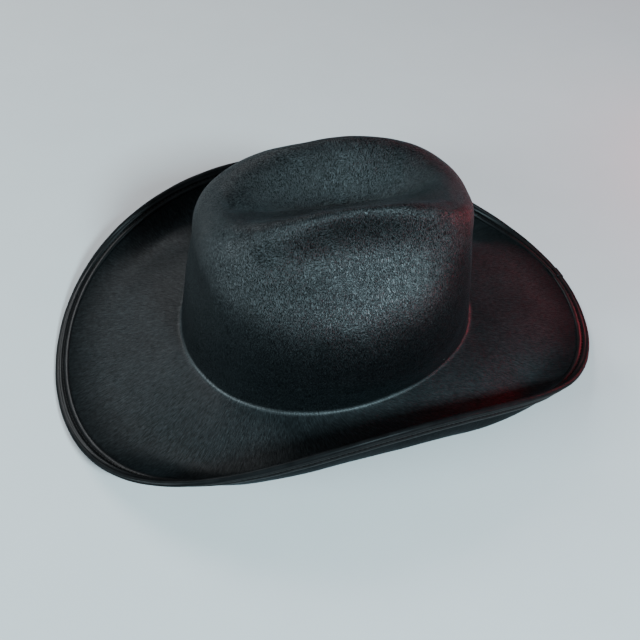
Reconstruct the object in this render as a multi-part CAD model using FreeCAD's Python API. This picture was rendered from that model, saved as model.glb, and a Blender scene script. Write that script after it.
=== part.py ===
import FreeCAD, Part
import math
import os

# Cowboy hat of pressed felt with a wired, tape-bound brim, in millimetres.
# +X is the front of the hat and +Z is up. The origin is under the middle of the hat,
# on the surface that the front and back edges of the brim rest on.
# An angle around the hat is 0 at the front, 90 degrees at the left side (+Y) and 180 at the back.

# ---- driving dimensions ----
FELT = 2.5                # thickness of the pressed felt
WIRE_RADIUS = 0.9         # stiffening wire in the brim's edge
WIRE_GAP = 2.0            # gap between the wire's two ends, inside its sleeve, at the back
SLEEVE_WALL = 0.25
SLEEVE_PLAY = 0.1
SLEEVE_LENGTH = 16.0
TAPE = 0.45               # thickness of the binding tape
TAPE_WIDTH = 8.5          # how far the binding reaches in from the wire, above and below the brim
TAPE_CAVITY = 1.4         # inner radius of the tape where it folds round the wire
EDGE_TO_WIRE = 1.3        # from the wire's centre to the cut edge of the felt
LAP_START = 10.0          # where the tape's free end overlaps its start, degrees round from the front
LAP_LENGTH = 9.0
THREAD = 0.2              # radius of the sewing thread
SEAM_INSET = 4.5          # from the wire's centre to the binding's seam
BAND_HEIGHT = 28.0        # sweatband
BAND_THICKNESS = 1.0
BAND_START = 1.0          # sweatband's lower edge above the brim
BAND_SEAM = 4.0           # its seam above the brim
BAND_GAP = 0.3            # air between the sweatband and the felt
TAB_WIDTH = 34.0          # blank care label inside, at the back
TAB_HEIGHT = 20.0
TAB_START = 7.0           # its lower edge above the brim
TAB_THICKNESS = 0.3
SKIN_GAP = 0.05           # air between the tape and its lapped end
THREAD_GAP = 0.2          # air between a thread and what it lies on
LIFT = TAPE_CAVITY + TAPE + 0.1   # raises the hat so that its lowest edge is at z = 0
SHIFT = -3.9              # moves the middle of the hat to x = 0

# Two lines round the hat: the foot of the crown, and the centre of the wire in the brim's edge.
# Each coordinate is a sum of waves round the hat, and its n-th number, counted from 0, is the size
# of the wave with n turns. X and Z are cosine waves and Y is a sum of sine waves.
FOOT_X = (0.0, 104.0, 3.6)
FOOT_Y = (0.0, 87.6, -2.1)
FOOT_Z = (22.6, -0.9, -2.1)
EDGE_X = (17.8, 196.9, -13.9, -2.9)
EDGE_Y = (0.0, 138.5, -19.5, 8.5)
EDGE_Z = (24.6, -5.3, -28.0, 5.4, 3.4)

# Crown: control outlines above the foot, up to the centre crease.
# Each is (front reach, back reach, half width, squareness, side pinch, height, front drop, back drop).
CROWN_RINGS = [
    (101.0, 95.5, 88.5, 2.15, 0.0, 55.0, 0.0, 0.0),
    (95.0, 84.5, 88.0, 2.3, 4.0, 98.0, 0.0, 0.0),
    (93.5, 86.0, 63.0, 2.7, 22.0, 118.0, 12.0, 8.0),
    (95.5, 77.5, 42.5, 3.2, 3.0, 151.0, 31.0, 22.0),
    (75.0, 66.0, 26.0, 3.0, 0.0, 148.5, 20.0, 13.0),
    (66.0, 57.0, 10.0, 2.4, 0.0, 126.0, -14.0, -6.0),
    (57.0, 48.0, 0.0, 2.0, 0.0, 124.0, -14.0, -6.0),
]
PINCH_MIDDLE = 10.0       # the two side dents, along X
PINCH_REACH = 58.0
DROP_MIDDLE = 15.0        # highest place of the crown, along X
DROP_REACH = 85.0
CREASE_LEAN = 6.0         # how far the crease lies towards the hat's right side
LEAN_START = 112.0        # the lean grows from this height
LEAN_RISE = 30.0
LEAN_REACH = 45.0         # and fades this far from the hat's middle
END_TURN = 2.5            # how soon an outline changes from its back reach to its front reach

# Brim's cross-section, at the front and back and at the rolled-up sides
LEAVE_SLOPE = (-4.0, -12.0)     # degrees, where the brim leaves the crown
ARRIVE_SLOPE = (-16.0, 86.0)    # degrees, at the edge
SIDE_SHARE = (0.54, -0.05, -0.46)   # cosine waves: 0 at front and back, 1 at the sides
LEAVE_REACH = (0.38, 0.82)      # how long each slope is held, as a share of the brim's width
ARRIVE_REACH = (0.38, 0.54)

# Number of spans that the surfaces are built with
SPANS_ROUND = 48
SPANS_BRIM = 14
SPANS_CROWN = 40
ROUND_SIDES = 12          # sides of the wire, its sleeve and the threads
FOLD_STEPS = 8            # straight steps in the tape's fold

CROWN_END = float(len(CROWN_RINGS) - 2)
STEP = 1e-3               # small step of a parameter, for measuring slopes and speeds


# ---- small helpers ----
def mix(a, b, t):
    return a + (b - a) * t


def smooth(t):
    t = min(max(t, 0.0), 1.0)
    return t * t * (3.0 - 2.0 * t)


def vec(x, y, z):
    return FreeCAD.Vector(x, y, z)


def unit(v):
    return v * (1.0 / v.Length)


def cosines(sizes, a):
    return sum(size * math.cos(n * a) for n, size in enumerate(sizes))


def sines(sizes, a):
    return sum(size * math.sin(n * a) for n, size in enumerate(sizes))


# ---- the hat's shape ----
def foot(a):
    """The line where the crown meets the brim."""
    return vec(cosines(FOOT_X, a) + SHIFT, sines(FOOT_Y, a), cosines(FOOT_Z, a) + LIFT)


def edge(a):
    """The centre of the wire in the brim's edge: low at front and back, high at the sides."""
    return vec(cosines(EDGE_X, a) + SHIFT, sines(EDGE_Y, a), cosines(EDGE_Z, a) + LIFT)


def brim_middle(a, s):
    """The middle of the brim's felt: s is 0 at the crown and 1 at the wire."""
    start = foot(a) - vec(0, 0, FELT / 2)
    end = edge(a)
    out = vec(end.x - start.x, end.y - start.y, 0)
    span = out.Length
    out = unit(out)
    side = smooth(cosines(SIDE_SHARE, a))
    leave = math.radians(mix(*LEAVE_SLOPE, side))
    arrive = math.radians(mix(*ARRIVE_SLOPE, side))
    first = mix(*LEAVE_REACH, side) * span
    last = mix(*ARRIVE_REACH, side) * span
    near = start + out * (first * math.cos(leave)) + vec(0, 0, first * math.sin(leave))
    far = end - out * (last * math.cos(arrive)) - vec(0, 0, last * math.sin(arrive))
    r = 1.0 - s
    return start * r**3 + near * (3 * s * r * r) + far * (3 * s * s * r) + end * s**3


def ring_point(ring, a):
    front, back, half_width, power, pinch, height, front_drop, back_drop = ring
    c, s = math.cos(a), math.sin(a)
    stretch = (abs(c)**power + abs(s)**power)**(-1.0 / power)
    reach = mix(back, front, 0.5 + 0.5 * math.tanh(END_TURN * c))
    x = reach * c * stretch
    y = half_width * s * stretch - s * pinch * math.exp(-((x - PINCH_MIDDLE) / PINCH_REACH)**2)
    ahead = max((x - DROP_MIDDLE) / DROP_REACH, 0.0)
    behind = max((DROP_MIDDLE - x) / DROP_REACH, 0.0)
    z = height - front_drop * ahead**2 - back_drop * behind**2
    return vec(x + SHIFT, y, z + LIFT)


def blend(i, degree, t, knots):
    """B-spline blending function of control outline i at t."""
    if degree == 0:
        return 1.0 if knots[i] <= t < knots[i + 1] else 0.0
    total = 0.0
    left = knots[i + degree] - knots[i]
    right = knots[i + degree + 1] - knots[i + 1]
    if left > 0:
        total += (t - knots[i]) / left * blend(i, degree - 1, t, knots)
    if right > 0:
        total += (knots[i + degree + 1] - t) / right * blend(i + 1, degree - 1, t, knots)
    return total


def crown_outside(a, t):
    """The outer face of the crown: t is 0 at the foot and CROWN_END along the crease."""
    inner = [float(k) for k in range(1, int(CROWN_END))]
    knots = [0.0] * 4 + inner + [CROWN_END] * 4
    t = min(t, CROWN_END - 1e-9)
    outlines = [foot(a)] + [ring_point(ring, a) for ring in CROWN_RINGS]
    total = vec(0, 0, 0)
    for i, point in enumerate(outlines):
        total += point * blend(i, 3, t, knots)
    return total


def normal(surface, a, t, t_max):
    """Unit normal that points up on the brim and outwards on the crown."""
    d = 1e-4
    low, high = max(t - d, 0.0), min(t + d, t_max)
    round_ = surface(a + d, t) - surface(a - d, t)
    across = surface(a, high) - surface(a, low)
    return unit(round_.cross(across))


def crown_point(a, t, depth):
    """A point inside the crown's outer face by depth."""
    if t >= CROWN_END:
        return crown_outside(a, t) - vec(0, 0, depth)
    n = normal(crown_outside, a, t, CROWN_END)
    if abs(math.sin(a)) < 1e-9:
        n = unit(vec(n.x, 0, n.z))
    return crown_outside(a, t) - n * depth


def brim_normal(a, s):
    n = normal(brim_middle, a, s, 1.0) * -1.0
    if abs(math.sin(a)) < 1e-9:
        n = unit(vec(n.x, 0, n.z))
    return n


def brim_speed(a):
    """How fast the brim's middle moves with s near the wire, in millimetres."""
    return (brim_middle(a, 1.0) - brim_middle(a, 1.0 - STEP)).Length / STEP


def edge_point(a, inset, height):
    """A point near the brim's edge: inset from the wire's centre, height above the felt's middle."""
    if inset <= 0:
        out = unit(brim_middle(a, 1.0) - brim_middle(a, 1.0 - STEP))
        return brim_middle(a, 1.0) - out * inset + brim_normal(a, 1.0) * height
    s = 1.0 - inset / brim_speed(a)
    return brim_middle(a, s) + brim_normal(a, s) * height


# ---- surfaces through a grid of control points ----
def stations(count, start, end):
    """Places for count + 3 control points that make an even cubic surface from start to end."""
    steps = [0.0, 1.0 / 3.0] + [float(i) for i in range(1, count)] + [count - 1.0 / 3.0, float(count)]
    return [mix(start, end, k / count) for k in steps]


def knots_for(poles, degree):
    spans = poles - degree
    return [degree + 1] + [1] * (spans - 1) + [degree + 1], [float(i) for i in range(spans + 1)]


def face(grid):
    """A face from rows of control points: cubic, or straight in a direction that has only two."""
    down, across = min(3, len(grid) - 1), min(3, len(grid[0]) - 1)
    row_mults, row_knots = knots_for(len(grid), down)
    col_mults, col_knots = knots_for(len(grid[0]), across)
    surface = Part.BSplineSurface()
    surface.buildFromPolesMultsKnots(grid, row_mults, col_mults, row_knots, col_knots,
                                     False, False, down, across)
    return surface.toShape()


def solid(faces):
    shell = Part.makeShell(faces)
    shell.sewShape()
    body = Part.makeSolid(shell)
    if body.Volume < 0:
        body.reverse()
    return body


def mirrored(point):
    return vec(point.x, -point.y, point.z)


def lean(point):
    """Moves the crown's crease towards the hat's right side."""
    share = smooth((point.z - LEAN_START) / LEAN_RISE) * (1 - smooth(abs(point.y) / LEAN_REACH))
    return vec(point.x, point.y - CREASE_LEAN * share, point.z)


def both_sides(row_of, start=0.0, end=math.pi):
    """The faces of a strip on the left half of the hat and on the right half."""
    grid = [row_of(a) for a in stations(SPANS_ROUND, start, end)]
    left = [[lean(p) for p in row] for row in grid]
    right = [[lean(mirrored(p)) for p in row] for row in grid]
    return [face(left), face(right)]


# ---- cross-sections that run along the brim's edge ----
# A chain is a list of (inset, height) points, joined by straight strips.
def circle(inset, height, radius):
    turns = [2 * math.pi * k / ROUND_SIDES for k in range(ROUND_SIDES)] + [0.0]
    return [(inset + radius * math.cos(t), height + radius * math.sin(t)) for t in turns]


def fold(radius, reach):
    """Tape's face folded over the wire: a flange above, a half circle and a flange below."""
    turns = [math.pi * (0.5 + k / FOLD_STEPS) for k in range(FOLD_STEPS + 1)]
    bend = [(radius * math.cos(t), radius * math.sin(t)) for t in turns]
    return ([(reach, radius), (reach / 2, radius)] + bend
            + [(reach / 2, -radius), (reach, -radius)])


def place(a, pairs):
    return [edge_point(a, inset, height) for inset, height in pairs]


def loop_faces(chain, end=math.pi):
    """Strips of a chain that runs round the brim, from the front to an angle on both sides."""
    faces = []
    for pair in zip(chain, chain[1:]):
        faces += both_sides(lambda a: place(a, pair), 0.0, end)
    return faces


def run_faces(chain, start, end):
    """Strips of a chain from one angle to another."""
    places = stations(6, start, end)
    return [face([place(a, pair) for a in places]) for pair in zip(chain, chain[1:])]


def end_cap(outer, inner, a):
    """Small faces that close the end of a hollow section at an angle."""
    out_points, in_points = place(a, outer), place(a, inner)
    return [face([out_points[k:k + 2], in_points[k:k + 2]]) for k in range(len(outer) - 1)]


def speed_round(a):
    """Millimetres of wire per radian."""
    return (edge(a + STEP) - edge(a - STEP)).Length / (2 * STEP)


# ---- pieces ----
def felt_body():
    """Crown and brim, pressed from one cone of felt."""
    def brim_stops(a):
        return stations(SPANS_BRIM, 0.0, 1.0 - EDGE_TO_WIRE / brim_speed(a))

    def corner(a):
        """Where the inside of the crown's wall meets the underside of the brim."""
        wall = crown_point(a, 0.0, FELT)
        up = crown_point(a, 0.01, FELT) - wall
        return wall - up * (FELT / up.z)

    def brim_top(a):
        points = [brim_middle(a, s) + brim_normal(a, s) * (FELT / 2) for s in brim_stops(a)]
        return [foot(a)] + points[1:]

    def brim_under(a):
        points = [brim_middle(a, s) - brim_normal(a, s) * (FELT / 2) for s in brim_stops(a)]
        return [corner(a)] + points[1:]

    def cut_edge(a):
        return [brim_top(a)[-1], brim_under(a)[-1]]

    crown_stops = stations(SPANS_CROWN, 0.0, CROWN_END)
    faces = both_sides(brim_top)
    faces += both_sides(brim_under)
    faces += both_sides(cut_edge)
    faces += both_sides(lambda a: [crown_outside(a, t) for t in crown_stops])
    faces += both_sides(lambda a: [corner(a)] + [crown_point(a, t, FELT) for t in crown_stops[1:]])
    return solid(faces)


def brim_wire():
    """Spring wire round the brim, open at the back where the sleeve joins its ends."""
    last = math.pi - WIRE_GAP / 2 / speed_round(math.pi)
    outline = circle(0.0, 0.0, WIRE_RADIUS)
    faces = loop_faces(outline, last)
    points = place(last, outline)
    centre = edge_point(last, 0.0, 0.0)
    for p, q in zip(points, points[1:]):
        faces.append(Part.Face(Part.makePolygon([p, q, centre, p])))
        faces.append(Part.Face(Part.makePolygon([mirrored(v) for v in (p, q, centre, p)])))
    return solid(faces)


def wire_sleeve():
    """Crimped metal sleeve over the wire's two ends."""
    half = SLEEVE_LENGTH / 2 / speed_round(math.pi)
    start, end = math.pi - half, math.pi + half
    inner = circle(0.0, 0.0, WIRE_RADIUS + SLEEVE_PLAY)
    outer = circle(0.0, 0.0, WIRE_RADIUS + SLEEVE_PLAY + SLEEVE_WALL)
    faces = run_faces(outer, start, end) + run_faces(inner, start, end)
    return solid(faces + end_cap(outer, inner, start) + end_cap(outer, inner, end))


def edge_binding():
    """Tape folded over the brim's edge, and its free end lapped over its start."""
    inner, outer = fold(TAPE_CAVITY, TAPE_WIDTH), fold(TAPE_CAVITY + TAPE, TAPE_WIDTH)
    faces = loop_faces(outer) + loop_faces(inner)
    for k in (0, -1):
        faces += loop_faces([outer[k], inner[k]])
    tape = solid(faces)

    lap_radius = TAPE_CAVITY + TAPE + SKIN_GAP
    inner, outer = fold(lap_radius, TAPE_WIDTH), fold(lap_radius + TAPE, TAPE_WIDTH)
    start = math.radians(LAP_START)
    end = start + LAP_LENGTH / speed_round(start)
    faces = run_faces(outer, start, end) + run_faces(inner, start, end)
    for k in (0, -1):
        faces += run_faces([outer[k], inner[k]], start, end)
    lap = solid(faces + end_cap(outer, inner, start) + end_cap(outer, inner, end))
    return Part.makeCompound([tape, lap])


def binding_thread(side):
    """One run of the binding's seam: side is 1 above the brim and -1 below it."""
    height = side * (TAPE_CAVITY + TAPE + THREAD + THREAD_GAP)
    return solid(loop_faces(circle(SEAM_INSET, height, THREAD)))


def band_stops(low, high):
    """Places up the crown's wall between two heights above the brim."""
    def place_for(height):
        t = 0.0
        while crown_outside(0.0, t).z < foot(0.0).z + height:
            t += 0.002
        return t
    return stations(4, place_for(low), place_for(high))


def sweatband():
    """Woven tape against the inside of the crown's wall."""
    stops = band_stops(BAND_START, BAND_START + BAND_HEIGHT)
    outside = FELT + BAND_GAP
    inside = outside + BAND_THICKNESS

    def layer(depth):
        return lambda a: [crown_point(a, t, depth) for t in stops]

    def border(t):
        return lambda a: [crown_point(a, t, outside), crown_point(a, t, inside)]

    faces = both_sides(layer(outside)) + both_sides(layer(inside))
    return solid(faces + both_sides(border(stops[0])) + both_sides(border(stops[-1])))


def sweatband_thread():
    """The seam that holds the sweatband, as one run of thread on its inner face."""
    depth = FELT + BAND_GAP + BAND_THICKNESS + THREAD + THREAD_GAP
    t = band_stops(0.0, BAND_SEAM)[-1]
    chain = circle(0.0, 0.0, THREAD)
    faces = []
    for pair in zip(chain, chain[1:]):
        faces += both_sides(lambda a: [crown_point(a, t, depth + inward) + vec(0, 0, up)
                                       for inward, up in pair])
    return solid(faces)


def care_label():
    """Blank woven label, tacked to the sweatband inside the back of the crown."""
    half = TAB_WIDTH / 2 / FOOT_X[1]
    stops = band_stops(TAB_START, TAB_START + TAB_HEIGHT)
    outside = FELT + BAND_THICKNESS + 2 * BAND_GAP
    inside = outside + TAB_THICKNESS
    places = stations(6, math.pi - half, math.pi + half)

    def layer(depth):
        return [[crown_point(a, t, depth) for t in stops] for a in places]

    outer, inner = layer(outside), layer(inside)
    faces = [face(outer), face(inner)]
    for k in (0, -1):
        faces.append(face([[o[k], i[k]] for o, i in zip(outer, inner)]))
        faces.append(face([[o, i] for o, i in zip(outer[k], inner[k])]))
    return solid(faces)


PIECES = {
    "felt_body": felt_body(),
    "brim_wire": brim_wire(),
    "wire_sleeve": wire_sleeve(),
    "edge_binding": edge_binding(),
    "binding_top_thread": binding_thread(1),
    "binding_under_thread": binding_thread(-1),
    "sweatband": sweatband(),
    "sweatband_thread": sweatband_thread(),
    "care_label": care_label(),
}

os.makedirs("parts", exist_ok=True)
for name, shape in PIECES.items():
    shape.exportStep("parts/" + name + ".step")
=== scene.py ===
import math
import bpy
import numpy as np
from mathutils import Matrix, Vector, noise


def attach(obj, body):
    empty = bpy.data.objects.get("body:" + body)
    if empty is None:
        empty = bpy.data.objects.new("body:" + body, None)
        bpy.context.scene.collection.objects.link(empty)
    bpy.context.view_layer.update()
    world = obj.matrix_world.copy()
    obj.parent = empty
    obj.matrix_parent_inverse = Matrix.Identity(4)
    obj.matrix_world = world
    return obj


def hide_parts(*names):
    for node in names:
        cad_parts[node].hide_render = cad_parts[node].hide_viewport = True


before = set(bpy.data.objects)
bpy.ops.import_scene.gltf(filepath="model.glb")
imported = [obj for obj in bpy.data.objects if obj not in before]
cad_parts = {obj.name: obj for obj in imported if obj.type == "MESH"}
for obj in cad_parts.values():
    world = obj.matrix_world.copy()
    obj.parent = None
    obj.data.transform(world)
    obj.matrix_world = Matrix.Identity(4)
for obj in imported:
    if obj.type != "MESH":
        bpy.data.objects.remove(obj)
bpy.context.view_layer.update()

# Cowboy hat of black felt. Lengths are in millimetres until a mesh is made, then metres.
# +X is the front of the hat. An angle round the hat is 0 at the front and 90 degrees at +Y.
MM = 0.001

# ---- dimensions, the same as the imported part's ----
FELT = 2.5
FOLD_RADIUS = 1.85        # outer face of the tape where it folds round the wire
TAPE_WIDTH = 8.5
SEAM_INSET = 4.5
EDGE_TO_WIRE = 1.3
LAP_START = math.radians(10.0)
LAP_LENGTH = 9.0
BAND_START = 1.0
BAND_HEIGHT = 28.0
BAND_THICKNESS = 1.0
BAND_GAP = 0.3
BAND_SEAM = 4.0
TAB_WIDTH = 34.0
TAB_HEIGHT = 20.0
TAB_START = 7.0
LABEL_THICKNESS = 0.35
LIFT = 1.95
SHIFT = -3.9
FOOT_LENGTH = 104.0
# waves of the crown's foot and the brim's edge, by how often they repeat round the hat
FOOT_X, FOOT_Y, FOOT_Z = (0.0, FOOT_LENGTH, 3.6), (0.0, 87.6, -2.1), (22.6, -0.9, -2.1)
EDGE_X = (17.8, 196.9, -13.9, -2.9)
EDGE_Y = (0.0, 138.5, -19.5, 8.5)
EDGE_Z = (24.6, -5.3, -28.0, 5.4, 3.4)
SIDE_SHARE = (0.54, -0.05, -0.46)      # how much of a side's curve the brim has
END_TURN = 2.5                         # how fast the outline changes from back reach to front reach
# (front reach, back reach, half width, squareness, side pinch, height, front drop, back drop)
CROWN_RINGS = [
    (101.0, 95.5, 88.5, 2.15, 0.0, 55.0, 0.0, 0.0),
    (95.0, 84.5, 88.0, 2.3, 4.0, 98.0, 0.0, 0.0),
    (93.5, 86.0, 63.0, 2.7, 22.0, 118.0, 12.0, 8.0),
    (95.5, 77.5, 42.5, 3.2, 3.0, 151.0, 31.0, 22.0),
    (75.0, 66.0, 26.0, 3.0, 0.0, 148.5, 20.0, 13.0),
    (66.0, 57.0, 10.0, 2.4, 0.0, 126.0, -14.0, -6.0),
    (57.0, 48.0, 0.0, 2.0, 0.0, 124.0, -14.0, -6.0),
]
CROWN_END = float(len(CROWN_RINGS) - 2)
PINCH_MIDDLE, PINCH_REACH = 10.0, 58.0
DROP_MIDDLE, DROP_REACH = 15.0, 85.0
CREASE_LEAN = 6.0         # how far the crease lies towards the hat's right side
LEAN_START, LEAN_RISE, LEAN_REACH = 112.0, 30.0, 45.0
LEAVE_SLOPE = (-4.0, -12.0)
ARRIVE_SLOPE = (-16.0, 86.0)
LEAVE_REACH = (0.38, 0.82)
ARRIVE_REACH = (0.38, 0.54)

# ---- the looks' own dimensions ----
FILLET = 3.2              # where the crown turns into the brim
ROUND = 384               # steps round the felt
BRIM_ROWS = 64
FILLET_ROWS = 8
CROWN_ROWS = 110
BINDING_STEPS = 1536      # steps round the binding
STITCH_PITCH = 3.4
STITCH_RADIUS = 0.28
FINE = 4001               # points used to measure round the hat
STEP = 1e-3               # small step for measuring speeds
CROWN_RADIUS = 95.0       # mean radius of the crown, for patterns laid round it
COMB_RUN = 0.14           # how much the fibres' pattern is drawn out up and down the felt
# felt's unevenness: (size, seed, height on the brim, height on the crown)
WAVES = ((34.0, 3.0, 0.7, 0.9), (13.0, 9.0, 0.15, 0.32))
# rows from the rim and the crease where the unevenness fades in, and where brim turns to crown
STILL_ROWS, RISE_ROWS, CREASE_ROWS = 4, 14.0, 6.0
TURN_START, TURN_SPREAD = 2, 6.0

# ---- painted light and shade of the felt by place, as shares of full gloss that also scale its colour ----
# faces turned up are painted lighter; the rim, the brim's sides and back, and the crown's low walls and
# front are painted in shade
LIT_UPRIGHT, LEVEL_RISE = 0.3, 0.6
LIT_BRIM, LIT_RIM, RIM_SHARE = 0.85, 0.06, 0.45
LIT_BRIM_MIDDLE = 0.86
LIT_SIDES, SIDE_START, SIDE_REACH = 0.4, 88.0, 34.0
LIT_BACK, BACK_START, BACK_REACH = 0.82, -150.0, 60.0
LIT_LOW, LIT_WALL, LIT_TOP = 0.5, 0.72, 0.98
WALL_START, WALL_REACH, TOP_START, TOP_REACH = 45.0, 40.0, 112.0, 16.0
LIT_FRONT, FRONT_START, FRONT_REACH, FRONT_TOP, FRONT_FADE = 0.15, 44.0, 34.0, 125.0, 20.0
# a painted highlight on the pinch of the crown
PINCH_PAINTED_HIGHLIGHT, PINCH_SPOT, PINCH_SPREAD = 0.72, (20.0, 108.0), (38.0, 17.0)
# a painted highlight along the bend where the crown meets the brim
BEND_PAINTED_HIGHLIGHT, BEND_ROWS = 1.6, 3.0
# painted shade on the felt's inner faces
INSIDE_PAINTED_SHADE = 0.2


# ---- formulas of the hat's shape, for whole arrays of angles ----
def mix(a, b, t):
    return a + (b - a) * t


def smooth(t):
    t = np.clip(t, 0.0, 1.0)
    return t * t * (3.0 - 2.0 * t)


def stack(x, y, z):
    return np.stack(np.broadcast_arrays(x, y, z), -1)


def unit(v):
    return v / np.maximum(np.linalg.norm(v, axis=-1, keepdims=True), 1e-12)


def cosines(waves, a):
    return sum(size * np.cos(n * a) for n, size in enumerate(waves))


def sines(waves, a):
    return sum(size * np.sin(n * a) for n, size in enumerate(waves))


def along(points):
    """The length from the first point to each point of a line."""
    return np.concatenate([[0], np.cumsum(np.linalg.norm(np.diff(points, axis=0), axis=1))])


def foot(a):
    return stack(cosines(FOOT_X, a) + SHIFT, sines(FOOT_Y, a), cosines(FOOT_Z, a) + LIFT)


def edge(a):
    return stack(cosines(EDGE_X, a) + SHIFT, sines(EDGE_Y, a), cosines(EDGE_Z, a) + LIFT)


def brim_middle(a, s):
    """The middle of the brim's felt: s is 0 at the crown and 1 at the wire."""
    a, s = np.broadcast_arrays(np.asarray(a, float), np.asarray(s, float))
    start, end = foot(a) - (0, 0, FELT / 2), edge(a)
    out = (end - start) * (1, 1, 0)
    span = np.linalg.norm(out, axis=-1)[..., None]
    out = unit(out)
    up = np.array((0.0, 0.0, 1.0))
    side = smooth(cosines(SIDE_SHARE, a))[..., None]
    leave, arrive = np.radians(mix(*LEAVE_SLOPE, side)), np.radians(mix(*ARRIVE_SLOPE, side))
    first, last = mix(*LEAVE_REACH, side) * span, mix(*ARRIVE_REACH, side) * span
    near = start + first * (out * np.cos(leave) + up * np.sin(leave))
    far = end - last * (out * np.cos(arrive) + up * np.sin(arrive))
    s = s[..., None]
    r = 1.0 - s
    return start * r**3 + near * 3 * s * r * r + far * 3 * s * s * r + end * s**3


def ring_points(ring, a):
    front, back, half_width, power, pinch, height, front_drop, back_drop = ring
    c, s = np.cos(a), np.sin(a)
    stretch = (np.abs(c)**power + np.abs(s)**power)**(-1.0 / power)
    x = mix(back, front, 0.5 + 0.5 * np.tanh(END_TURN * c)) * c * stretch
    y = half_width * s * stretch - s * pinch * np.exp(-((x - PINCH_MIDDLE) / PINCH_REACH)**2)
    ahead = np.maximum((x - DROP_MIDDLE) / DROP_REACH, 0.0)
    behind = np.maximum((DROP_MIDDLE - x) / DROP_REACH, 0.0)
    return stack(x + SHIFT, y, height - front_drop * ahead**2 - back_drop * behind**2 + LIFT)


def blend(i, degree, t, knots):
    """B-spline blending function of control outline i."""
    if degree == 0:
        return ((knots[i] <= t) & (t < knots[i + 1])).astype(float)
    total = np.zeros_like(t)
    left, right = knots[i + degree] - knots[i], knots[i + degree + 1] - knots[i + 1]
    if left > 0:
        total += (t - knots[i]) / left * blend(i, degree - 1, t, knots)
    if right > 0:
        total += (knots[i + degree + 1] - t) / right * blend(i + 1, degree - 1, t, knots)
    return total


def crown_outside(a, t):
    """The outer face of the crown: t is 0 at the foot and CROWN_END along the crease."""
    a, t = np.broadcast_arrays(np.asarray(a, float), np.asarray(t, float))
    knots = [0.0] * 4 + [float(k) for k in range(1, int(CROWN_END))] + [CROWN_END] * 4
    t = np.minimum(t, CROWN_END - 1e-9)
    outlines = [foot(a)] + [ring_points(ring, a) for ring in CROWN_RINGS]
    return sum(points * blend(i, 3, t, knots)[..., None] for i, points in enumerate(outlines))


def surface_normal(surface, a, t, t_max, side):
    d = 1e-4
    across = surface(a, np.minimum(t + d, t_max)) - surface(a, np.maximum(t - d, 0.0))
    return unit(np.cross(surface(a + d, t) - surface(a - d, t), across)) * side


def crown_inside(a, t, depth):
    return crown_outside(a, t) - surface_normal(crown_outside, a, t, CROWN_END, 1) * depth


def edge_points(a, inset, height):
    """Points near the brim's edge: inset from the wire's centre, height above the felt's middle."""
    a, inset, height = np.broadcast_arrays(a, inset, height)
    one = np.ones_like(a)
    last = brim_middle(a, one) - brim_middle(a, one - STEP)
    speed = np.linalg.norm(last, axis=-1) / STEP
    s = 1.0 - np.maximum(inset, 0.0) / speed
    beyond = np.maximum(-inset, 0.0)[..., None]
    n = surface_normal(brim_middle, a, s, 1.0, -1)
    return brim_middle(a, s) + unit(last) * beyond + n * height[..., None]


def lean(points):
    """Moves the crown's crease towards the hat's right side."""
    share = (smooth((points[..., 2] - LEAN_START) / LEAN_RISE)
             * (1 - smooth(np.abs(points[..., 1]) / LEAN_REACH)))
    return stack(points[..., 0], points[..., 1] - CREASE_LEAN * share, points[..., 2])


# ---- meshes ----
def angles(count, start=0.0, end=2 * math.pi):
    """Angles in even steps of the brim's length, from start up to but not including end."""
    fine = np.linspace(start, end, FINE)
    length = along(edge(fine))
    return np.interp(np.arange(count) / count * length[-1], length, fine)


def edge_length(start=0.0, end=2 * math.pi):
    return float(along(edge(np.linspace(start, end, FINE)))[-1])


def grid_faces(rows, columns, closed, offset=0, flip=False):
    """Quads of a grid stored row by row. A closed grid joins its last column to its first."""
    faces = []
    for r in range(rows - 1):
        for c in range(columns if closed else columns - 1):
            d = (c + 1) % columns
            quad = (r * columns + c, r * columns + d, (r + 1) * columns + d, (r + 1) * columns + c)
            quad = tuple(offset + k for k in quad)
            faces.append(quad[::-1] if flip else quad)
    return faces


def add_mesh(name, points, faces, material):
    """Makes an object of millimetre points."""
    mesh = bpy.data.meshes.new(name)
    mesh.from_pydata((np.asarray(points).reshape(-1, 3) * MM).tolist(), [], faces)
    mesh.update()
    mesh.polygons.foreach_set("use_smooth", [True] * len(mesh.polygons))
    mesh.materials.append(material)
    piece = bpy.data.objects.new(name, mesh)
    bpy.context.scene.collection.objects.link(piece)
    return piece


def store(piece, name, values):
    """Keeps a value or vector at each point, for the materials."""
    values = np.asarray(values, float)
    kind = "FLOAT" if values.ndim == 1 else "FLOAT_VECTOR"
    layer = piece.data.attributes.new(name, kind, "POINT")
    layer.data.foreach_set("value" if kind == "FLOAT" else "vector", values.ravel())


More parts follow.
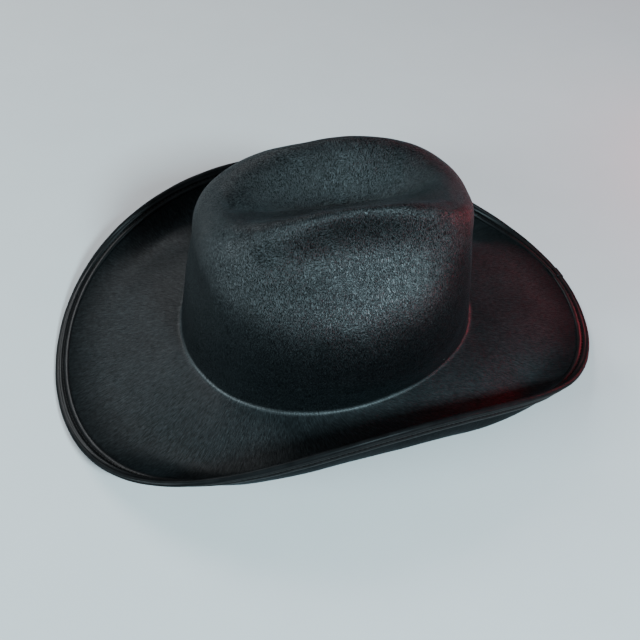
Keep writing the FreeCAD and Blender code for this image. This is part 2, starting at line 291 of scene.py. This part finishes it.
# ---- materials ----
class Nodes:
    """A small builder of node materials."""

    def __init__(self, name):
        self.material = bpy.data.materials.new(name)
        self.material.use_nodes = True
        self.tree = self.material.node_tree
        self.shader = self.tree.nodes["Principled BSDF"]

    def put(self, socket, value):
        if isinstance(value, bpy.types.NodeSocket):
            self.tree.links.new(value, socket)
        elif value is not None:
            socket.default_value = value

    def node(self, kind, inputs=(), **settings):
        made = self.tree.nodes.new(kind)
        for key, value in settings.items():
            setattr(made, key, value)
        for key, value in dict(inputs).items():
            self.put(made.inputs[key], value)
        return made

    def math(self, operation, a, b=None, clamp=False):
        made = self.node("ShaderNodeMath", operation=operation, use_clamp=clamp)
        self.put(made.inputs[0], a)
        self.put(made.inputs[1], b)
        return made.outputs[0]

    def place(self):
        """Object coordinates in millimetres."""
        where = self.node("ShaderNodeTexCoord").outputs["Object"]
        made = self.node("ShaderNodeVectorMath", operation="SCALE")
        self.put(made.inputs[0], where)
        made.inputs["Scale"].default_value = 1 / MM
        return made.outputs[0]

    def attribute(self, name, output="Fac"):
        return self.node("ShaderNodeAttribute", attribute_name=name).outputs[output]

    def noise(self, where, scale, detail=3.0, roughness=0.55, warp=0.0):
        made = self.node("ShaderNodeTexNoise", {"Vector": where, "Scale": scale, "Detail": detail,
                                                "Roughness": roughness, "Distortion": warp})
        return made.outputs["Fac"]

    def stretch(self, where, scale):
        made = self.node("ShaderNodeVectorMath", operation="MULTIPLY")
        self.put(made.inputs[0], where)
        made.inputs[1].default_value = scale
        return made.outputs[0]

    def add_vectors(self, a, b):
        made = self.node("ShaderNodeVectorMath", operation="ADD")
        self.put(made.inputs[0], a)
        self.put(made.inputs[1], b)
        return made.outputs[0]

    def range(self, value, low, high, to_low, to_high):
        made = self.node("ShaderNodeMapRange", {"Value": value, "From Min": low, "From Max": high,
                                                "To Min": to_low, "To Max": to_high})
        return made.outputs["Result"]

    def mix_colour(self, share, a, b, blend_type="MIX"):
        made = self.node("ShaderNodeMix", data_type="RGBA", blend_type=blend_type)
        self.put(made.inputs["Factor"], share)
        self.put(made.inputs[6], a)
        self.put(made.inputs[7], b)
        return made.outputs[2]

    def bump(self, height, distance_mm, strength=1.0):
        made = self.node("ShaderNodeBump", {"Height": height, "Distance": distance_mm * MM,
                                            "Strength": strength})
        return made.outputs["Normal"]

    def finish(self, **values):
        for key, value in values.items():
            self.put(self.shader.inputs[key.replace("_", " ")], value)
        return self.material


def felt_material():
    """Black needle-punched felt: matted strokes of fibre on the crown, combed smoother on the brim."""
    m = Nodes("black_felt")
    where = m.place()
    crown = m.attribute("crown")
    combed = m.attribute("combed", "Vector")

    drift = m.node("ShaderNodeTexNoise", {"Vector": where, "Scale": 0.2, "Detail": 1.0})
    sway = m.stretch(drift.outputs["Color"], (2.6, 2.6, 2.6))
    upright = m.noise(m.add_vectors(m.stretch(combed, (1.0, 1.0, 2.6)), sway), 2.1, 2.0, 0.55)
    level = m.noise(m.stretch(m.add_vectors(where, sway), (0.45, 1.0, 1.0)), 1.5, 2.0, 0.55)
    patch = m.range(m.noise(where, 0.05, 2.0, 0.5), 0.36, 0.50, 0.25, 1.0)
    strokes = m.math("ADD", m.math("MULTIPLY", upright, patch),
                     m.math("MULTIPLY", level, m.math("SUBTRACT", 1.0, patch)))
    strokes = m.range(strokes, 0.35, 0.65, 0.0, 1.0)
    fuzz = m.noise(where, 2.1, 2.0, 0.6, 0.3)
    streaks = m.range(m.noise(combed, 2.0, 3.0, 0.6, 0.2), 0.28, 0.72, 0.0, 1.0)

    matted = m.math("ADD", m.math("MULTIPLY", strokes, 0.72), m.math("MULTIPLY", fuzz, 0.28))
    pressed = m.math("ADD", m.math("MULTIPLY", streaks, 0.62), m.math("MULTIPLY", fuzz, 0.38))
    pressed = m.range(pressed, 0.0, 1.0, 0.25, 1.0)
    height = m.mix_colour(crown, pressed, matted)

    broad = m.range(m.noise(where, 0.035, 3.0, 0.5), 0.3, 0.7, 0.0, 1.0)
    dark = m.mix_colour(broad, (0.0004, 0.0005, 0.0006, 1), (0.0008, 0.0010, 0.0011, 1))
    light = m.mix_colour(broad, (0.0170, 0.0210, 0.0225, 1), (0.0260, 0.0315, 0.0335, 1))
    colour = m.mix_colour(m.math("POWER", height, 3.2, True), dark, light)
    lint = m.node("ShaderNodeTexVoronoi", {"Vector": where, "Scale": 0.028, "Randomness": 1.0})
    # painted light and shade: the felt's colour is scaled by a share stored at each point, darker where
    # shade falls and brighter on the painted highlights
    painted_light_share = m.attribute("painted_light_share")
    colour = m.mix_colour(0.75, colour, painted_light_share, "MULTIPLY")
    speck = m.math("LESS_THAN", lint.outputs["Distance"], 0.011)
    colour = m.mix_colour(speck, colour, (0.3, 0.3, 0.29, 1))

    grain = m.bump(height, 0.22, 1.0)
    least, most = m.range(crown, 0.0, 1.0, 0.06, 0.08), m.range(crown, 0.0, 1.0, 0.4, 0.62)
    gloss = m.range(height, 0.15, 0.9, least, most)
    # the coat's gloss is scaled by the same share of painted light and shade
    return m.finish(Base_Color=colour, Roughness=m.range(height, 0.0, 1.0, 0.8, 0.6), Normal=grain,
                    Specular_IOR_Level=0.02, Specular_Tint=(0.78, 0.95, 1.0, 1),
                    Coat_Weight=m.math("MULTIPLY", gloss, painted_light_share), Coat_Roughness=0.45, Coat_Normal=grain,
                    Sheen_Weight=0.02, Sheen_Roughness=0.4, Sheen_Tint=(0.7, 0.9, 1.0, 1))


def tape_material():
    """Binding tape: fine ribs along its length, a low satin shine, dull on the fold and dark in the seam."""
    m = Nodes("binding_tape")
    along = m.attribute("tape", "Vector")
    where = m.place()
    groove = m.attribute("groove")
    fold = m.attribute("fold")
    ribs = m.node("ShaderNodeTexWave", {"Vector": along, "Scale": 0.55, "Distortion": 0.6, "Detail": 2.0,
                                        "Detail Scale": 1.5}, bands_direction="Y")
    weave = m.noise(m.stretch(along, (2.2, 5.0, 1.0)), 1.0, 3.0, 0.6)
    worn = m.range(m.noise(where, 0.12, 3.0), 0.35, 0.7, 0.0, 1.0)
    height = m.math("ADD", m.math("MULTIPLY", ribs.outputs["Fac"], 0.5), m.math("MULTIPLY", weave, 0.5))
    colour = m.mix_colour(weave, (0.0012, 0.0013, 0.0014, 1), (0.005, 0.0052, 0.0055, 1))
    colour = m.mix_colour(m.math("MULTIPLY", worn, 0.4), colour, (0.009, 0.0092, 0.0095, 1))
    colour = m.mix_colour(groove, colour, (0.0012, 0.0008, 0.0008, 1))
    shine = m.math("MULTIPLY", m.math("SUBTRACT", 1.0, groove), m.range(fold, 0.0, 1.0, 0.2, 0.03))
    return m.finish(Base_Color=colour, Roughness=m.range(weave, 0.3, 0.7, 0.28, 0.42),
                    Normal=m.bump(height, 0.06, 0.7), Specular_IOR_Level=0.01,
                    Coat_Weight=shine, Coat_Roughness=0.34)


def thread_material():
    """Twisted black sewing thread."""
    m = Nodes("sewing_thread")
    where = m.place()
    plies = m.node("ShaderNodeTexWave", {"Vector": where, "Scale": 1.6, "Distortion": 1.5, "Detail": 1.0},
                   bands_direction="DIAGONAL")
    colour = m.mix_colour(plies.outputs["Fac"], (0.0015, 0.0012, 0.0012, 1), (0.007, 0.0065, 0.0065, 1))
    return m.finish(Base_Color=colour, Roughness=m.range(plies.outputs["Fac"], 0, 1, 0.7, 0.5),
                    Normal=m.bump(plies.outputs["Fac"], 0.08, 0.8), Specular_IOR_Level=0.08)


def band_material():
    """Ribbed woven tape of the sweatband."""
    m = Nodes("sweatband_tape")
    along = m.attribute("tape", "Vector")
    where = m.place()
    ribs = m.node("ShaderNodeTexWave", {"Vector": along, "Scale": 0.32, "Distortion": 0.25, "Detail": 1.0},
                  bands_direction="X", wave_profile="SIN")
    yarn = m.noise(m.stretch(along, (2.0, 7.0, 1.0)), 1.0, 3.0, 0.6)
    worn = m.noise(where, 0.06, 4.0, 0.6)
    height = m.math("ADD", m.math("MULTIPLY", ribs.outputs["Fac"], 0.75), m.math("MULTIPLY", yarn, 0.25))
    colour = m.mix_colour(yarn, (0.012, 0.012, 0.013, 1), (0.05, 0.05, 0.052, 1))
    colour = m.mix_colour(m.range(worn, 0.45, 0.75, 0.0, 0.45), colour, (0.07, 0.068, 0.064, 1))
    return m.finish(Base_Color=colour, Roughness=m.range(height, 0.0, 1.0, 0.8, 0.55),
                    Normal=m.bump(height, 0.22, 0.8), Sheen_Weight=0.15)


def label_material():
    """Blank woven satin label."""
    m = Nodes("blank_label")
    where = m.place()
    threads = m.node("ShaderNodeTexWave", {"Vector": where, "Scale": 1.1, "Distortion": 0.3, "Detail": 1.0},
                     bands_direction="Z")
    stain = m.noise(where, 0.09, 4.0, 0.6)
    colour = m.mix_colour(threads.outputs["Fac"], (0.52, 0.51, 0.47, 1), (0.70, 0.69, 0.65, 1))
    colour = m.mix_colour(m.range(stain, 0.5, 0.8, 0.0, 0.35), colour, (0.42, 0.38, 0.32, 1))
    return m.finish(Base_Color=colour, Roughness=m.range(threads.outputs["Fac"], 0, 1, 0.5, 0.36),
                    Normal=m.bump(threads.outputs["Fac"], 0.05, 0.6))


def metal_material(name, colour, low, high):
    """Drawn metal: fine scratches and uneven shine."""
    m = Nodes(name)
    where = m.place()
    scratches = m.noise(m.stretch(where, (0.3, 0.3, 6.0)), 2.0, 4.0, 0.6)
    tint = m.mix_colour(m.range(scratches, 0.3, 0.7, 0.0, 0.3), colour, (0.3, 0.3, 0.31, 1))
    return m.finish(Base_Color=tint, Metallic=1.0, Roughness=m.range(scratches, 0.3, 0.7, low, high),
                    Normal=m.bump(scratches, 0.02, 0.5))


# ---- pieces ----
def felt_grid():
    """The outer face of the felt, row by row from the brim's edge up to the crown's crease."""
    a = np.arange(ROUND) / ROUND * 2 * math.pi
    edge_speed = np.linalg.norm(brim_middle(a, 1.0) - brim_middle(a, 1.0 - STEP), axis=-1) / STEP
    foot_speed = np.linalg.norm(brim_middle(a, STEP) - brim_middle(a, 0.0), axis=-1) / STEP
    wall_speed = np.linalg.norm(crown_outside(a, STEP) - crown_outside(a, 0.0), axis=-1) / STEP
    s_outer = 1.0 - EDGE_TO_WIRE / edge_speed
    s_inner = FILLET / foot_speed
    t_start = FILLET / wall_speed

    k = np.linspace(0.0, 1.0, BRIM_ROWS)[:, None]
    s = mix(s_outer, s_inner, k)
    upward = surface_normal(brim_middle, np.broadcast_to(a, s.shape), s, 1.0, -1)
    brim = brim_middle(a, s) + upward * (FELT / 2)
    k = np.linspace(0.0, 1.0, CROWN_ROWS)[:, None]
    t = mix(t_start, CROWN_END, k)
    crown = crown_outside(a, t)
    crown[-1, :, 1] = 0.0
    u = (np.arange(1, FILLET_ROWS + 1) / (FILLET_ROWS + 1))[:, None, None]
    bend = brim[-1] * (1 - u)**2 + foot(a) * 2 * u * (1 - u) + crown[0] * u**2
    return a, lean(np.concatenate([brim, bend, crown]))


def grid_normals(grid):
    """Normals of the felt's outer face, up and outwards."""
    down = np.gradient(grid, axis=0)
    round_ = np.roll(grid, -1, axis=1) - np.roll(grid, 1, axis=1)
    normals = unit(np.cross(round_, down))
    normals[-1] = (0.0, 0.0, 1.0)
    normals[-2] = unit(normals[-3] + normals[-1])
    return normals


def uneven(points, size, seed):
    """Gentle unevenness of hand-shaped felt, between -1 and 1."""
    return np.array([noise.noise(Vector(p / size) + Vector((seed, seed, seed))) for p in points])


def painted_light_by_place(points, rise, row, crown):
    """Painted light and shade of the felt at each point, as a share of full gloss that also scales its
    colour: lighter on faces turned up, darker on the rim, the brim's sides and back, and the crown's low
    walls and front. Rise is the upward part of the normal there.
    """
    x, y, z = points.T
    rim_rows = BRIM_ROWS * RIM_SHARE
    rim = smooth((rim_rows - row) / rim_rows)
    gloss = mix(LIT_UPRIGHT, 1.0, smooth(rise / LEVEL_RISE)) * mix(LIT_BRIM, LIT_RIM, rim)

    from_back = smooth((x - BACK_START) / BACK_REACH)
    on_brim = mix(LIT_BRIM_MIDDLE, LIT_SIDES, smooth((np.abs(y) - SIDE_START) / SIDE_REACH) * from_back)
    on_brim = on_brim * mix(LIT_BACK, 1.0, from_back)

    wall = mix(LIT_LOW, LIT_WALL, smooth((z - WALL_START) / WALL_REACH))
    on_crown = mix(wall, LIT_TOP, smooth((z - TOP_START) / TOP_REACH))
    # a painted highlight on the crown's pinch, in colour and gloss
    pinch = np.exp(-((x - PINCH_SPOT[0]) / PINCH_SPREAD[0])**2 - ((z - PINCH_SPOT[1]) / PINCH_SPREAD[1])**2)
    # painted shade on the front of the crown's wall
    front = smooth((x - FRONT_START) / FRONT_REACH) * smooth((FRONT_TOP - z) / FRONT_FADE)
    on_crown = (on_crown + PINCH_PAINTED_HIGHLIGHT * pinch) * mix(1.0, LIT_FRONT, front)

    # a painted highlight along the bend from brim to crown
    bend = np.exp(-((row - BRIM_ROWS - FILLET_ROWS / 2) / BEND_ROWS)**2)
    return gloss * mix(on_brim, on_crown, crown) * (1 + BEND_PAINTED_HIGHLIGHT * bend)


def felt_hat(material):
    a, grid = felt_grid()
    normals = grid_normals(grid)
    rows, columns = grid.shape[:2]
    points = grid.reshape(-1, 3)
    row = np.repeat(np.arange(rows), columns)
    free = smooth((row - STILL_ROWS) / RISE_ROWS) * smooth((rows - 1 - row) / CREASE_ROWS)
    crown = smooth((row - BRIM_ROWS + TURN_START) / (FILLET_ROWS + TURN_SPREAD))
    waves = sum(uneven(points, size, seed) * mix(on_brim, on_crown, crown)
                for size, seed, on_brim, on_crown in WAVES)
    outer = points + normals.reshape(-1, 3) * (waves * free)[:, None]
    inner = outer - normals.reshape(-1, 3) * FELT
    inner = inner.reshape(rows, columns, 3)
    inner[-1, :, 1] = grid[-1, :, 1]
    inner = inner.reshape(-1, 3)
    count = rows * columns
    faces = grid_faces(rows, columns, True) + grid_faces(rows, columns, True, count, True)
    rim = [(c, count + c, count + (c + 1) % columns, (c + 1) % columns) for c in range(columns)]
    # on the crease the left and right halves share their points
    share = np.arange(2 * count)
    for start in ((rows - 1) * columns, count + (rows - 1) * columns):
        for c in range(columns // 2 + 1, columns):
            share[start + c] = start + columns - c
    faces = [tuple(int(share[k]) for k in f) for f in faces + rim]
    faces = [tuple(dict.fromkeys(f)) for f in faces]
    faces = [f for f in faces if len(f) > 2]
    used = np.unique([k for f in faces for k in f])
    renumber = np.zeros(2 * count, int)
    renumber[used] = np.arange(len(used))
    faces = [tuple(int(renumber[k]) for k in f) for f in faces]
    piece = add_mesh("felt_hat", np.concatenate([outer, inner])[used], faces, material)

    steps = np.linalg.norm(np.diff(grid, axis=0), axis=-1)
    run = np.concatenate([np.zeros((1, columns)), np.cumsum(steps, axis=0)])
    theta = np.tile(a, rows)
    combed = stack(np.cos(theta) * CROWN_RADIUS, np.sin(theta) * CROWN_RADIUS, run.ravel() * COMB_RUN)
    store(piece, "combed", np.concatenate([combed, combed])[used])
    store(piece, "crown", np.concatenate([crown, crown * 0.6 + 0.2])[used])
    # painted light and shade by place, stored on the felt; its inner faces get a fifth of it, painted shade
    painted_light_share = painted_light_by_place(outer, normals[..., 2].ravel(), row, crown)
    store(piece, "painted_light_share", np.concatenate([painted_light_share, painted_light_share * INSIDE_PAINTED_SHADE])[used])
    return piece


def thin_shell(name, outer, inner, closed, material):
    """A closed thin solid between two grids of points."""
    rows, columns = outer.shape[:2]
    count = rows * columns
    faces = grid_faces(rows, columns, closed) + grid_faces(rows, columns, closed, count, True)
    ring = columns if closed else columns - 1
    for r in (0, rows - 1):
        for c in range(ring):
            d = (c + 1) % columns
            quad = (r * columns + c, count + r * columns + c, count + r * columns + d, r * columns + d)
            faces.append(quad if r == 0 else quad[::-1])
    if not closed:
        for c in (0, columns - 1):
            for r in range(rows - 1):
                p, q = r * columns + c, (r + 1) * columns + c
                quad = (p, q, count + q, count + p)
                faces.append(quad if c == 0 else quad[::-1])
    return add_mesh(name, np.concatenate([outer.reshape(-1, 3), inner.reshape(-1, 3)]), faces, material)


def binding_section():
    """The tape's outer face across the fold: (inset, height) points from its upper to its lower edge."""
    def flange(sign):
        reach = [TAPE_WIDTH, TAPE_WIDTH - 0.15, TAPE_WIDTH - 0.7, 7.1, 6.3, 5.7, 5.2, SEAM_INSET,
                 3.8, 3.3, 2.7, 2.0]
        height = [1.32, 1.72, 2.02, 2.08, 2.05, 1.85, 1.55, 1.32, 1.45, 1.75, 1.98, 2.02]
        return [(r, sign * h) for r, h in zip(reach, height)]
    turns = np.radians(np.linspace(55, 305, 15))
    bend = [(FOLD_RADIUS * math.cos(t), FOLD_RADIUS * math.sin(t)) for t in turns]
    return flange(1) + bend + flange(-1)[::-1]


def binding_strip(name, a, closed, swell, material):
    """The tape swept along angles a, swollen outwards by swell, with a closed thin body."""
    section = np.array(binding_section())
    middle = np.array([(max(i, 0.0), 0.0) for i, _ in section])
    away = unit(section - middle)
    length = along(edge(a))
    phase = (length / STITCH_PITCH) % 1.0
    pinch = np.exp(-((np.minimum(phase, 1 - phase)) / 0.16)**2)
    groove = np.exp(-((section[:, 0] - SEAM_INSET) / 0.9)**2)
    ruffle = 0.05 * np.sin(length / 4.7) + 0.04 * np.sin(length / 11.3 + 1.0)
    push = swell + ruffle[None, :] * (1 - groove[:, None]) - 0.16 * groove[:, None] * pinch[None, :]
    outer = section[:, None, :] + away[:, None, :] * push[..., None]
    inner = section[:, None, :] + away[:, None, :] * (np.full_like(push, swell) - 0.42)[..., None]
    rows, columns = push.shape
    out = edge_points(np.broadcast_to(a, (rows, columns)), outer[..., 0], outer[..., 1])
    within = edge_points(np.broadcast_to(a, (rows, columns)), inner[..., 0], inner[..., 1])
    piece = thin_shell(name, out, within, closed, material)
    across = along(section)
    tape = stack(length[None, :], across[:, None], 0.0).reshape(-1, 3)
    store(piece, "tape", np.concatenate([tape, tape]))
    fold = np.repeat(smooth((1.6 - section[:, 0]) / 2.2), columns)
    store(piece, "fold", np.concatenate([fold, np.zeros_like(fold)]))
    seam = np.repeat(groove, columns)
    store(piece, "groove", np.concatenate([seam, seam]))
    return piece


def stitch_row(name, place_at, count, material, sides=6, rings=6):
    """Separate stitches along a seam. place_at(u, side, up) gives points at places u along it."""
    u = np.linspace(-0.5, 0.5, rings)
    centre = np.arange(count)[:, None] + 0.5 + u[None, :] * 0.84
    taper = np.sqrt(np.clip(1 - (np.abs(u) / 0.52)**4, 0.02, 1))
    sink = -0.35 * (np.abs(u) * 2)**4
    turn = np.arange(sides) / sides * 2 * math.pi
    side = (STITCH_RADIUS * taper[None, :, None] * np.cos(turn)) + 0 * centre[..., None]
    up = (STITCH_RADIUS * taper[None, :, None] * np.sin(turn) + sink[None, :, None]) + 0 * centre[..., None]
    points = place_at(np.broadcast_to(centre[..., None], side.shape), side, up)
    faces = []
    for n in range(count):
        base = n * rings * sides
        faces += grid_faces(rings, sides, True, base)
        faces.append(tuple(base + k for k in range(sides))[::-1])
        faces.append(tuple(base + (rings - 1) * sides + k for k in range(sides)))
    return add_mesh(name, points, faces, material)


def binding_stitches(name, sign, material):
    fine = np.linspace(0, 2 * math.pi, FINE)
    length = along(edge(fine))
    count = int(length[-1] / STITCH_PITCH)

    def place_at(u, side, up):
        a = np.interp(u / count * length[-1], length, fine)
        return edge_points(a, SEAM_INSET + side, sign * (1.42 + up))
    return stitch_row(name, place_at, count, material)


def height_to_t(height):
    """Places up the crown's wall at a height above the brim, near its foot."""
    t = np.linspace(0.0, 1.0, 400)
    z = crown_outside(np.zeros_like(t), t)[:, 2] - foot(0.0)[2]
    return np.interp(height, z, t)


def sweatband(material):
    """Woven tape inside the crown's opening, with a soft wave along its free upper edge."""
    a = np.arange(720) / 720 * 2 * math.pi
    rise = np.linspace(0.0, 1.0, 15)[:, None]
    t = height_to_t(BAND_START + BAND_HEIGHT * rise)
    wave = 0.35 * np.sin(a * 23 + 1.2 * np.sin(a * 5)) * smooth((rise - 0.35) / 0.65)
    pull = -0.25 * np.exp(-((rise * BAND_HEIGHT + BAND_START - BAND_SEAM) / 1.1)**2)
    roll = 0.35 * np.maximum(0.0, 1 - np.abs(rise - 0.03) / 0.06)
    inner_depth = FELT + BAND_GAP + BAND_THICKNESS + wave + pull + roll
    angle = np.broadcast_to(a, wave.shape)
    tall = np.broadcast_to(t, wave.shape)
    outer = crown_inside(angle, tall, FELT + BAND_GAP)
    inner = crown_inside(angle, tall, inner_depth[..., None])
    piece = thin_shell("sweatband_tape", outer, inner, True, material)
    tape = stack(a[None, :] * CROWN_RADIUS, rise * BAND_HEIGHT, 0.0).reshape(-1, 3)
    store(piece, "tape", np.concatenate([tape, tape]))
    return piece


def sweatband_stitches(material):
    t = float(height_to_t(BAND_SEAM))
    fine = np.linspace(0, 2 * math.pi, 2001)
    ring = crown_inside(fine, np.full_like(fine, t), FELT + BAND_GAP + BAND_THICKNESS)
    length = along(ring)
    count = int(length[-1] / STITCH_PITCH)

    def place_at(u, side, up):
        a = np.interp(u / count * length[-1], length, fine)
        depth = FELT + BAND_GAP + BAND_THICKNESS - 0.1 + up
        points = crown_inside(a, np.full_like(a, t), depth[..., None])
        points[..., 2] += side
        return points
    return stitch_row("sweatband_stitches", place_at, count, material)


def care_label(material):
    """Blank label with a turned top edge that lies against the sweatband."""
    half = TAB_WIDTH / 2 / FOOT_LENGTH
    a = np.linspace(math.pi - half, math.pi + half, 33)
    rise = np.linspace(0.0, 1.0, 17)[:, None]
    t = np.broadcast_to(height_to_t(TAB_START + TAB_HEIGHT * rise), (17, 33))
    angle = np.broadcast_to(a, t.shape)
    curl = 0.9 * smooth(np.abs(angle - math.pi) / half * 2.2 - 1.3) * (1 - rise)**2
    turned = 0.3 * smooth((rise - 0.84) / 0.04)
    start = FELT + BAND_THICKNESS + 2 * BAND_GAP + 0.2
    outer = crown_inside(angle, t, (start + curl)[..., None])
    inner = crown_inside(angle, t, (start + LABEL_THICKNESS + curl + turned)[..., None])
    return thin_shell("blank_care_label", outer, inner, False, material)


# ---- stage ----
CAMERA_TURN = math.radians(12.35)      # round from straight in front of the hat's right side
CAMERA_RISE = math.radians(48.84)
CAMERA_ROLL = math.radians(1.68)
CAMERA_DISTANCE = 596.3
CAMERA_LENS = 47.1
LOOK_AT = (SHIFT, 0.0, 30.0 + LIFT)
LOOK_OFFSET = (-1.5, -11.1)            # right and up from there


def add_camera():
    ct, st = math.cos(CAMERA_TURN), math.sin(CAMERA_TURN)
    cr, sr = math.cos(CAMERA_RISE), math.sin(CAMERA_RISE)
    forward = Vector((st * cr, ct * cr, -sr))
    right = Vector((ct, -st, 0.0))
    up = right.cross(forward)
    target = Vector(LOOK_AT) + right * LOOK_OFFSET[0] + up * LOOK_OFFSET[1]
    c, s = math.cos(CAMERA_ROLL), math.sin(CAMERA_ROLL)
    x_axis, y_axis = right * c + up * s, up * c - right * s
    data = bpy.data.cameras.new("camera")
    data.lens = CAMERA_LENS
    data.sensor_width = 36.0
    data.clip_start = 0.01
    camera = bpy.data.objects.new("camera", data)
    turn = Matrix((x_axis, y_axis, -forward)).transposed().to_4x4()
    camera.matrix_world = Matrix.Translation((target - forward * CAMERA_DISTANCE) * MM) @ turn
    bpy.context.scene.collection.objects.link(camera)
    bpy.context.scene.camera = camera


def add_light(name, place, look, size, power, colour):
    """A soft area light: place and look in metres, power in watts."""
    data = bpy.data.lights.new(name, "AREA")
    data.shape = "RECTANGLE"
    data.size, data.size_y = size
    data.energy = power
    data.color = colour
    light = bpy.data.objects.new(name, data)
    light.location = place
    light.rotation_euler = (Vector(look) - Vector(place)).to_track_quat("-Z", "Y").to_euler()
    bpy.context.scene.collection.objects.link(light)


def add_stage():
    m = Nodes("pale_floor")
    grain = m.noise(m.place(), 0.02, 2.0)
    floor_material = m.finish(Base_Color=m.mix_colour(grain, (0.34, 0.34, 0.34, 1), (0.36, 0.36, 0.36, 1)),
                              Roughness=0.85)
    half = 3000.0
    corners = [(-half, -half, 0), (half, -half, 0), (half, half, 0), (-half, half, 0)]
    floor = add_mesh("floor", corners, [(0, 1, 2, 3)], floor_material)
    world = bpy.data.worlds.new("studio")
    world.use_nodes = True
    world.node_tree.nodes["Background"].inputs["Color"].default_value = (0.93, 0.96, 1.0, 1)
    world.node_tree.nodes["Background"].inputs["Strength"].default_value = 0.09
    bpy.context.scene.world = world
    add_light("key", (0.42, -1.0, 0.95), (0.02, 0, 0.08), (0.26, 0.22), 60, (0.64, 0.91, 1.0))
    add_light("back", (-0.6, 0.9, 1.0), (-0.05, 0, 0.05), (0.7, 0.5), 18, (0.97, 0.98, 1.0))
    add_light("left", (-1.3, -0.35, 0.45), (0, 0, 0.06), (0.5, 0.4), 44, (0.75, 0.93, 1.0))
    add_light("red_right", (1.0, 0.25, 0.28), (0.1, 0, 0.06), (0.4, 0.25), 1.2, (1.0, 0.12, 0.14))
    add_light("red_back", (0.85, 0.85, 0.38), (0.15, 0, 0.03), (0.3, 0.2), 1.5, (1.0, 0.08, 0.12))
    add_light("red_end", (0.5, 0.1, 0.05), (0.18, 0, 0.03), (0.12, 0.05), 0.9, (1.0, 0.04, 0.08))
    add_light("red_low", (0.75, -0.5, 0.1), (0.12, -0.05, 0.04), (0.25, 0.12), 3, (1.0, 0.1, 0.12))


def main():
    felt = felt_material()
    tape = tape_material()
    thread = thread_material()
    band = band_material()
    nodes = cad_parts

    hat = felt_hat(felt)
    binding = binding_strip("folded_binding", angles(BINDING_STEPS), True, 0.0, tape)
    lap_end = LAP_START + LAP_LENGTH / (edge_length(LAP_START, LAP_START + 0.1) / 0.1)
    lap = binding_strip("binding_lap", np.linspace(LAP_START, lap_end, 14), False, 0.5, tape)
    top = binding_stitches("binding_top_stitches", 1, thread)
    under = binding_stitches("binding_under_stitches", -1, thread)
    inner_band = sweatband(band)
    inner_stitches = sweatband_stitches(thread)
    label = care_label(label_material())
    pieces = [
        (hat, "felt_body", "felt"),
        (binding, "edge_binding", "binding_tape"),
        (top, "binding_top_thread", "thread"),
        (under, "binding_under_thread", "thread"),
        (inner_band, "sweatband", "sweatband_tape"),
        (inner_stitches, "sweatband_thread", "thread"),
        (label, "care_label", "label"),
    ]
    for piece, node, slot in pieces:
        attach(piece, "root")
        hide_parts(node)
    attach(lap, "root")

    steel = metal_material("spring_wire", (0.62, 0.62, 0.63, 1), 0.25, 0.45)
    sleeve = metal_material("sleeve_metal", (0.78, 0.78, 0.79, 1), 0.35, 0.55)
    for name, material in (("brim_wire", steel), ("wire_sleeve", sleeve)):
        nodes[name].data.materials.clear()
        nodes[name].data.materials.append(material)

    add_stage()
    add_camera()


main()
